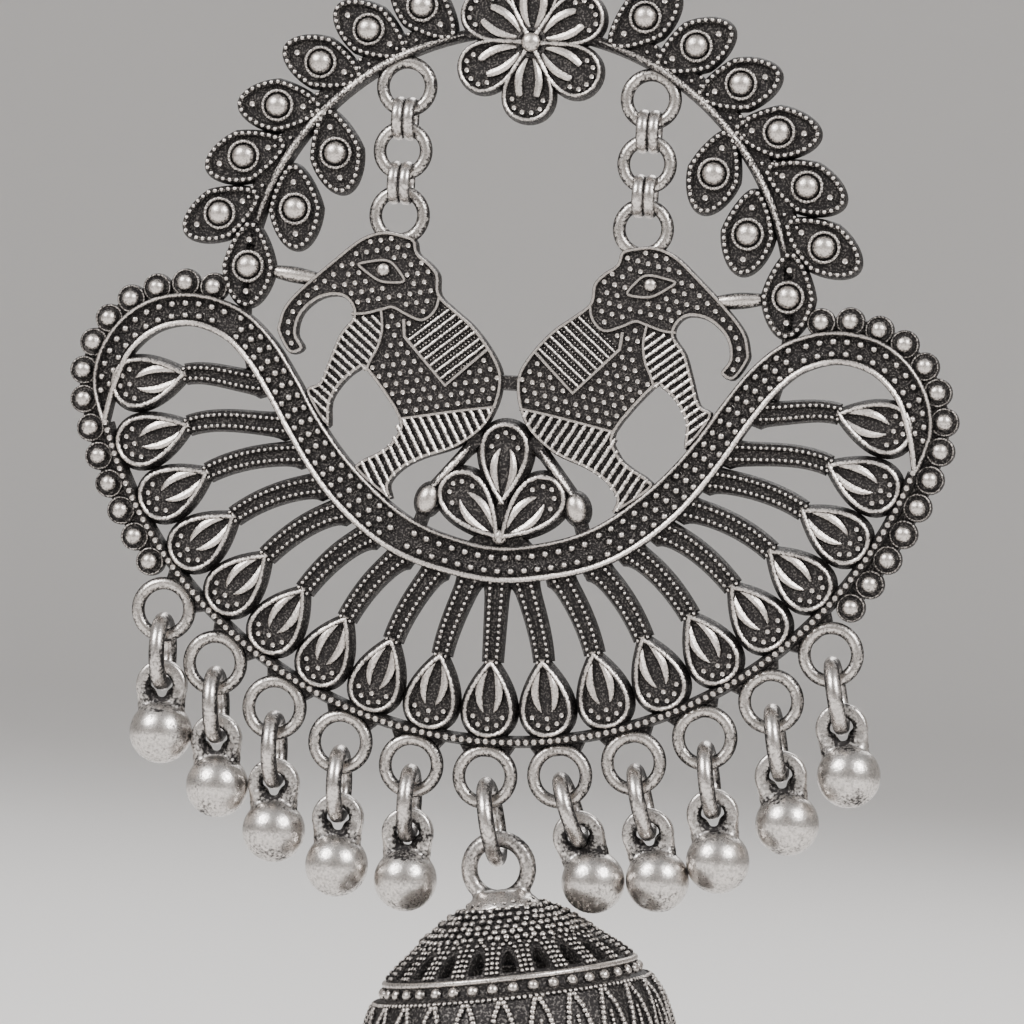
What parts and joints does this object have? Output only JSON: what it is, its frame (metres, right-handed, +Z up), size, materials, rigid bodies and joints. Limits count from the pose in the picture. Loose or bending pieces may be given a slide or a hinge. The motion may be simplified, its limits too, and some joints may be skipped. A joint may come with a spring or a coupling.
{
  "type": "chandbali earring",
  "caption": "Crescent chandbali drop earring in oxidised silver, with a flower stud, leaf wreath, paired elephants, a fringe of small drops and a hollow bell pendant.",
  "frame": {"origin": "on the ear post's axis, at the back face of the pad that lies on the ear lobe", "axes": "+Z up as worn, -Y towards the front of the decorated plate, +X to the viewer's right"},
  "size_m": [0.0618, 0.0233, 0.0817],
  "materials": {
    "cast_silver": "oxidised cast silver, near black in the recesses and worn bright on raised edges",
    "wire_silver": "oxidised silver wire, worn smooth and grey",
    "bead_silver": "oxidised silver bead, glossy with fine dark pits",
    "jhumki_silver": "oxidised granulated silver, dark between the grains"
  },
  "bodies": {
    "root": {"frame_casting": "cast_silver", "chain_link_left_1": "wire_silver", "chain_link_left_2": "wire_silver", "chain_link_left_3": "wire_silver", "chain_link_left_4": "wire_silver", "chain_link_right_1": "wire_silver", "chain_link_right_2": "wire_silver", "chain_link_right_3": "wire_silver", "chain_link_right_4": "wire_silver", "chain_ring_left": "wire_silver", "chain_ring_right": "wire_silver", "jump_ring_1": "wire_silver", "jump_ring_2": "wire_silver", "jump_ring_3": "wire_silver", "jump_ring_4": "wire_silver", "jump_ring_5": "wire_silver", "jump_ring_7": "wire_silver", "jump_ring_8": "wire_silver", "jump_ring_9": "wire_silver", "jump_ring_10": "wire_silver", "jump_ring_11": "wire_silver", "drop_1": "bead_silver", "drop_2": "bead_silver", "drop_3": "bead_silver", "drop_4": "bead_silver", "drop_5": "bead_silver", "drop_7": "bead_silver", "drop_8": "bead_silver", "drop_9": "bead_silver", "drop_10": "bead_silver", "drop_11": "bead_silver"},
    "jhumki_ring": {"jhumki_ring": "wire_silver"},
    "jhumki": {"jhumki": "jhumki_silver"}
  },
  "joints": [
    {"name": "ring_swing", "type": "hinge", "parent": "root", "child": "jhumki_ring", "pos_m": [0.0004, -0.0011, -0.05253], "axis": [0.9759, 0, 0.2181], "range_deg": [-45, 45]},
    {"name": "bell_swing", "type": "hinge", "parent": "jhumki_ring", "child": "jhumki", "pos_m": [0.00126, -0.0011, -0.05639], "axis": [0, 1, 0], "range_deg": [-2, 15]}
  ]
}
